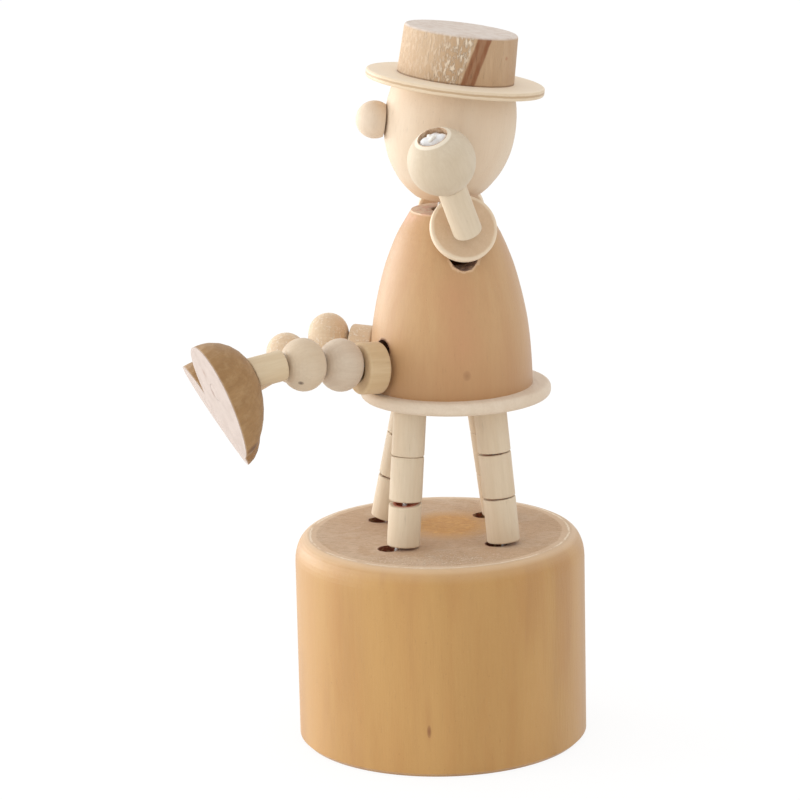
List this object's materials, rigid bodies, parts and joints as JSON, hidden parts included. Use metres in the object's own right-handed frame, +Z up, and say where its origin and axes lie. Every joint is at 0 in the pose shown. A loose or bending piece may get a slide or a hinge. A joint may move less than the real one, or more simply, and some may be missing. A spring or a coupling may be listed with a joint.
{
  "type": "push puppet",
  "caption": "Wooden push puppet: a string-jointed figure in a brimmed hat, seated on a stool on a drum base with a sprung button underneath that slackens its strings",
  "frame": {"origin": "centre of the drum's foot, on the plane it stands on", "axes": "+Z up through the drum, +X towards the figure's left hand, -Y the way the figure faces"},
  "size_m": [0.05, 0.068, 0.1242],
  "materials": {
    "drum_wood": "turned hardwood, sanded side, sawn top with coarse end grain",
    "button_wood": "turned hardwood, sanded",
    "spring_steel": "drawn spring wire",
    "stool_wood": "pale bead wood, sanded",
    "torso_wood": "turned hardwood with faint upright grain, sanded smooth",
    "head_wood": "pale bead wood, sanded smooth",
    "brim_wood": "pale plywood disc, sawn edge",
    "crown_wood": "rough-sawn tan wood with brown streaks",
    "washer_wood": "tan wood disc with a paler bevelled rim",
    "bead_wood": "pale bead wood with a few dark pores",
    "shoe_wood": "brown turned wood, pale sawn sole",
    "string": "braided off-white string"
  },
  "bodies": {
    "base": {"base_drum": "drum_wood", "return_spring": "spring_steel", "leg_string_left": "string", "leg_string_right": "string", "arm_string_left": "string", "arm_string_right": "string"},
    "button": {"button": "button_wood"},
    "front_left_foot": {"stool_front_left_foot": "stool_wood"},
    "front_left_middle": {"stool_front_left_middle": "stool_wood"},
    "front_left_top": {"stool_front_left_top": "stool_wood"},
    "front_right_foot": {"stool_front_right_foot": "stool_wood"},
    "front_right_middle": {"stool_front_right_middle": "stool_wood"},
    "front_right_top": {"stool_front_right_top": "stool_wood"},
    "rear_left_foot": {"stool_rear_left_foot": "stool_wood"},
    "rear_left_middle": {"stool_rear_left_middle": "stool_wood"},
    "rear_left_top": {"stool_rear_left_top": "stool_wood"},
    "rear_right_foot": {"stool_rear_right_foot": "stool_wood"},
    "rear_right_middle": {"stool_rear_right_middle": "stool_wood"},
    "rear_right_top": {"stool_rear_right_top": "stool_wood"},
    "seat": {"seat_disc": "stool_wood"},
    "torso": {"torso": "torso_wood"},
    "neck": {"neck_string": "string"},
    "head": {"head": "head_wood", "nose": "head_wood", "hat_brim": "brim_wood", "hat_crown": "crown_wood"},
    "washer_left": {"washer_left": "washer_wood"},
    "arm_left": {"arm_left": "bead_wood"},
    "hand_left": {"hand_left": "bead_wood"},
    "thigh_left": {"thigh_left": "bead_wood"},
    "upper_bead_left": {"upper_bead_left": "bead_wood"},
    "knee_bead_left": {"knee_bead_left": "bead_wood"},
    "shin_left": {"shin_left": "bead_wood"},
    "shoe_left": {"shoe_left": "shoe_wood"},
    "washer_right": {"washer_right": "washer_wood"},
    "arm_right": {"arm_right": "bead_wood"},
    "hand_right": {"hand_right": "bead_wood"},
    "thigh_right": {"thigh_right": "bead_wood"},
    "upper_bead_right": {"upper_bead_right": "bead_wood"},
    "knee_bead_right": {"knee_bead_right": "bead_wood"},
    "shin_right": {"shin_right": "bead_wood"},
    "shoe_right": {"shoe_right": "shoe_wood"}
  },
  "joints": [
    {"name": "seat_sway", "type": "hinge", "parent": "base", "child": "seat", "pos_m": [0, 0.01, 0.115], "axis": [-1, 0, 0], "range_deg": [0, 7], "stiffness_Nm_per_rad": 0.02, "springref_deg": -2.86},
    {"name": "button_press", "type": "slide", "parent": "base", "child": "button", "axis": [0, 0, 1], "range_m": [0, 0.0075], "stiffness_N_per_m": 40, "springref_m": -0.0002, "deforming": ["return_spring", "leg_string_left", "leg_string_right", "arm_string_left", "arm_string_right"]},
    {"name": "front_left_foot_tip", "type": "hinge", "parent": "base", "child": "front_left_foot", "pos_m": [0.00898, -0.00959, 0.03655], "axis": [1, 0, 0], "range_deg": [0, 21.9], "stiffness_Nm_per_rad": 0.00092, "springref_deg": 0.51},
    {"name": "front_left_middle_tip", "type": "hinge", "parent": "front_left_foot", "child": "front_left_middle", "pos_m": [0.00841, -0.004, 0.04392], "axis": [1, 0, 0], "range_deg": [-14.7, 0], "stiffness_Nm_per_rad": 0.00042, "springref_deg": 0.68},
    {"name": "front_left_top_tip", "type": "hinge", "parent": "front_left_middle", "child": "front_left_top", "pos_m": [0.00776, -0.00837, 0.05206], "axis": [1, 0, 0], "range_deg": [0, 12], "stiffness_Nm_per_rad": 0.00012, "springref_deg": -0.83},
    {"name": "front_right_foot_tip", "type": "hinge", "parent": "base", "child": "front_right_foot", "pos_m": [-0.00896, -0.01075, 0.03714], "axis": [1, 0, 0], "range_deg": [0, 23.1], "stiffness_Nm_per_rad": 0.00092, "springref_deg": 0.71},
    {"name": "front_right_middle_tip", "type": "hinge", "parent": "front_right_foot", "child": "front_right_middle", "pos_m": [-0.00844, -0.0043, 0.04377], "axis": [1, 0, 0], "range_deg": [-12.6, 0], "stiffness_Nm_per_rad": 0.00042, "springref_deg": 0.87},
    {"name": "front_right_top_tip", "type": "hinge", "parent": "front_right_middle", "child": "front_right_top", "pos_m": [-0.00776, -0.00765, 0.05238], "axis": [1, 0, 0], "range_deg": [0, 5.5], "stiffness_Nm_per_rad": 0.00012, "springref_deg": -0.64},
    {"name": "rear_left_foot_tip", "type": "hinge", "parent": "base", "child": "rear_left_foot", "pos_m": [0.00902, 0.00761, 0.03616], "axis": [1, 0, 0], "range_deg": [0, 14.9], "stiffness_Nm_per_rad": 0.00092, "springref_deg": 0.14},
    {"name": "rear_left_middle_tip", "type": "hinge", "parent": "rear_left_foot", "child": "rear_left_middle", "pos_m": [0.00841, 0.007, 0.04392], "axis": [1, 0, 0], "range_deg": [0, 2], "stiffness_Nm_per_rad": 0.00042, "springref_deg": 0.32},
    {"name": "rear_left_top_tip", "type": "hinge", "parent": "rear_left_middle", "child": "rear_left_top", "pos_m": [0.00776, 0.01137, 0.05206], "axis": [1, 0, 0], "range_deg": [-2.4, 0], "stiffness_Nm_per_rad": 0.00012, "springref_deg": -1.13},
    {"name": "rear_right_foot_tip", "type": "hinge", "parent": "base", "child": "rear_right_foot", "pos_m": [-0.00903, 0.00882, 0.03615], "axis": [1, 0, 0], "range_deg": [0, 13.2], "stiffness_Nm_per_rad": 0.00092, "springref_deg": 0.14},
    {"name": "rear_right_middle_tip", "type": "hinge", "parent": "rear_right_foot", "child": "rear_right_middle", "pos_m": [-0.00842, 0.00781, 0.04386], "axis": [1, 0, 0], "range_deg": [0, 2], "stiffness_Nm_per_rad": 0.00042, "springref_deg": 0.32},
    {"name": "rear_right_top_tip", "type": "hinge", "parent": "rear_right_middle", "child": "rear_right_top", "pos_m": [-0.00776, 0.01175, 0.05222], "axis": [1, 0, 0], "range_deg": [-2.2, 0], "stiffness_Nm_per_rad": 0.00012, "springref_deg": -1.13},
    {"name": "torso_tip", "type": "hinge", "parent": "seat", "child": "torso", "pos_m": [0, -0.0113, 0.06236], "axis": [1, 0, 0], "range_deg": [0, 12], "stiffness_Nm_per_rad": 0.13, "springref_deg": 0.51},
    {"name": "neck_tip", "type": "hinge", "parent": "torso", "child": "neck", "pos_m": [0, 0.00114, 0.09257], "axis": [1, 0, 0], "range_deg": [0, 15], "stiffness_Nm_per_rad": 0.031, "springref_deg": 0.22},
    {"name": "head_turn", "type": "hinge", "parent": "neck", "child": "head", "pos_m": [0, 0.0014, 0.09446], "axis": [0, 0.1392, 0.9903], "range_deg": [-35, 35]},
    {"name": "washer_tip_left", "type": "hinge", "parent": "torso", "child": "washer_left", "pos_m": [0.0112, 0.00437, 0.08539], "axis": [-0.1564, 0.9877, 0], "range_deg": [0, 10], "stiffness_Nm_per_rad": 0.0029, "springref_deg": -0.57},
    {"name": "arm_swing_left", "type": "hinge", "parent": "washer_left", "child": "arm_left", "pos_m": [0.01046, 0.00357, 0.09119], "axis": [-0.3404, 0.8295, 0.4427], "range_deg": [0, 45]},
    {"name": "hand_tip_left", "type": "hinge", "parent": "arm_left", "child": "hand_left", "pos_m": [0.01767, 0.00245, 0.09883], "axis": [-0.3404, 0.8295, 0.4427], "range_deg": [0, 12], "stiffness_Nm_per_rad": 0.00069, "springref_deg": 0.32},
    {"name": "hip_left", "type": "hinge", "parent": "torso", "child": "thigh_left", "pos_m": [0.00636, -0.01047, 0.06307], "axis": [0.9135, 0.4067, 0], "range_deg": [0, 10], "stiffness_Nm_per_rad": 0.011, "springref_deg": -1.49},
    {"name": "upper_bead_tip_left", "type": "hinge", "parent": "thigh_left", "child": "upper_bead_left", "pos_m": [0.00794, -0.01402, 0.0663], "axis": [0.9135, 0.4067, 0], "range_deg": [0, 18], "stiffness_Nm_per_rad": 0.0086, "springref_deg": -1.55},
    {"name": "knee_left", "type": "hinge", "parent": "upper_bead_left", "child": "knee_bead_left", "pos_m": [0.01073, -0.02027, 0.06765], "axis": [0.9135, 0.4067, 0], "range_deg": [0, 22], "stiffness_Nm_per_rad": 0.0056, "springref_deg": -1.54},
    {"name": "shin_tip_left", "type": "hinge", "parent": "knee_bead_left", "child": "shin_left", "pos_m": [0.01356, -0.02665, 0.06754], "axis": [0.9272, 0.3746, 0], "range_deg": [0, 16], "stiffness_Nm_per_rad": 0.003, "springref_deg": -1.55},
    {"name": "ankle_left", "type": "hinge", "parent": "shin_left", "child": "shoe_left", "pos_m": [0.01548, -0.03139, 0.06692], "axis": [0.9563, 0.2924, 0], "range_deg": [0, 8], "stiffness_Nm_per_rad": 0.0014, "springref_deg": -1.49},
    {"name": "washer_tip_right", "type": "hinge", "parent": "torso", "child": "washer_right", "pos_m": [-0.0112, 0.00437, 0.08539], "axis": [-0.1564, -0.9877, 0], "range_deg": [0, 10], "stiffness_Nm_per_rad": 0.0029, "springref_deg": -0.57},
    {"name": "arm_swing_right", "type": "hinge", "parent": "washer_right", "child": "arm_right", "pos_m": [-0.01046, 0.00357, 0.09119], "axis": [-0.3404, -0.8295, -0.4427], "range_deg": [0, 45]},
    {"name": "hand_tip_right", "type": "hinge", "parent": "arm_right", "child": "hand_right", "pos_m": [-0.01767, 0.00245, 0.09883], "axis": [-0.3404, -0.8295, -0.4427], "range_deg": [0, 12], "stiffness_Nm_per_rad": 0.00069, "springref_deg": 0.32},
    {"name": "hip_right", "type": "hinge", "parent": "torso", "child": "thigh_right", "pos_m": [-0.00631, -0.01049, 0.06307], "axis": [0.9659, -0.2588, 0], "range_deg": [0, 10], "stiffness_Nm_per_rad": 0.0098, "springref_deg": -1.55},
    {"name": "upper_bead_tip_right", "type": "hinge", "parent": "thigh_right", "child": "upper_bead_right", "pos_m": [-0.00733, -0.0143, 0.06739], "axis": [0.9848, -0.1736, 0], "range_deg": [0, 18], "stiffness_Nm_per_rad": 0.0079, "springref_deg": -1.56},
    {"name": "knee_right", "type": "hinge", "parent": "upper_bead_right", "child": "knee_bead_right", "pos_m": [-0.00848, -0.02078, 0.06568], "axis": [0.9986, -0.0523, 0], "range_deg": [0, 10], "stiffness_Nm_per_rad": 0.0051, "springref_deg": -1.55},
    {"name": "shin_tip_right", "type": "hinge", "parent": "knee_bead_right", "child": "shin_right", "pos_m": [-0.0088, -0.0269, 0.06214], "axis": [0.9976, 0.0698, 0], "range_deg": [0, 12], "stiffness_Nm_per_rad": 0.0028, "springref_deg": -1.55},
    {"name": "ankle_right", "type": "hinge", "parent": "shin_right", "child": "shoe_right", "pos_m": [-0.00847, -0.03151, 0.05968], "axis": [0.9816, 0.1908, 0], "range_deg": [0, 6], "stiffness_Nm_per_rad": 0.0013, "springref_deg": -1.55}
  ],
  "couplings": [
    {"joint": "button_press", "follows": "seat_sway", "m_per_rad": 0.061358},
    {"joint": "front_left_foot_tip", "follows": "seat_sway", "ratio": 3.127},
    {"joint": "front_left_middle_tip", "follows": "seat_sway", "ratio": -2.0989},
    {"joint": "front_left_top_tip", "follows": "seat_sway", "ratio": 1.7134},
    {"joint": "front_right_foot_tip", "follows": "seat_sway", "ratio": 3.2984},
    {"joint": "front_right_middle_tip", "follows": "seat_sway", "ratio": -1.7991},
    {"joint": "front_right_top_tip", "follows": "seat_sway", "ratio": 0.78532},
    {"joint": "rear_left_foot_tip", "follows": "seat_sway", "ratio": 2.1275},
    {"joint": "rear_left_middle_tip", "follows": "seat_sway", "ratio": 0.28557},
    {"joint": "rear_left_top_tip", "follows": "seat_sway", "ratio": -0.34269},
    {"joint": "rear_right_foot_tip", "follows": "seat_sway", "ratio": 1.8848},
    {"joint": "rear_right_middle_tip", "follows": "seat_sway", "ratio": 0.28557},
    {"joint": "rear_right_top_tip", "follows": "seat_sway", "ratio": -0.31413},
    {"joint": "torso_tip", "follows": "seat_sway", "ratio": 1.7134},
    {"joint": "neck_tip", "follows": "seat_sway", "ratio": 2.1418},
    {"joint": "washer_tip_left", "follows": "seat_sway", "ratio": 1.4279},
    {"joint": "hand_tip_left", "follows": "seat_sway", "ratio": 1.7134},
    {"joint": "hip_left", "follows": "seat_sway", "ratio": 1.4279},
    {"joint": "upper_bead_tip_left", "follows": "seat_sway", "ratio": 2.5701},
    {"joint": "knee_left", "follows": "seat_sway", "ratio": 3.1413},
    {"joint": "shin_tip_left", "follows": "seat_sway", "ratio": 2.2846},
    {"joint": "ankle_left", "follows": "seat_sway", "ratio": 1.1423},
    {"joint": "washer_tip_right", "follows": "seat_sway", "ratio": 1.4279},
    {"joint": "hand_tip_right", "follows": "seat_sway", "ratio": 1.7134},
    {"joint": "hip_right", "follows": "seat_sway", "ratio": 1.4279},
    {"joint": "upper_bead_tip_right", "follows": "seat_sway", "ratio": 2.5701},
    {"joint": "knee_right", "follows": "seat_sway", "ratio": 1.4279},
    {"joint": "shin_tip_right", "follows": "seat_sway", "ratio": 1.7134},
    {"joint": "ankle_right", "follows": "seat_sway", "ratio": 0.85671}
  ]
}
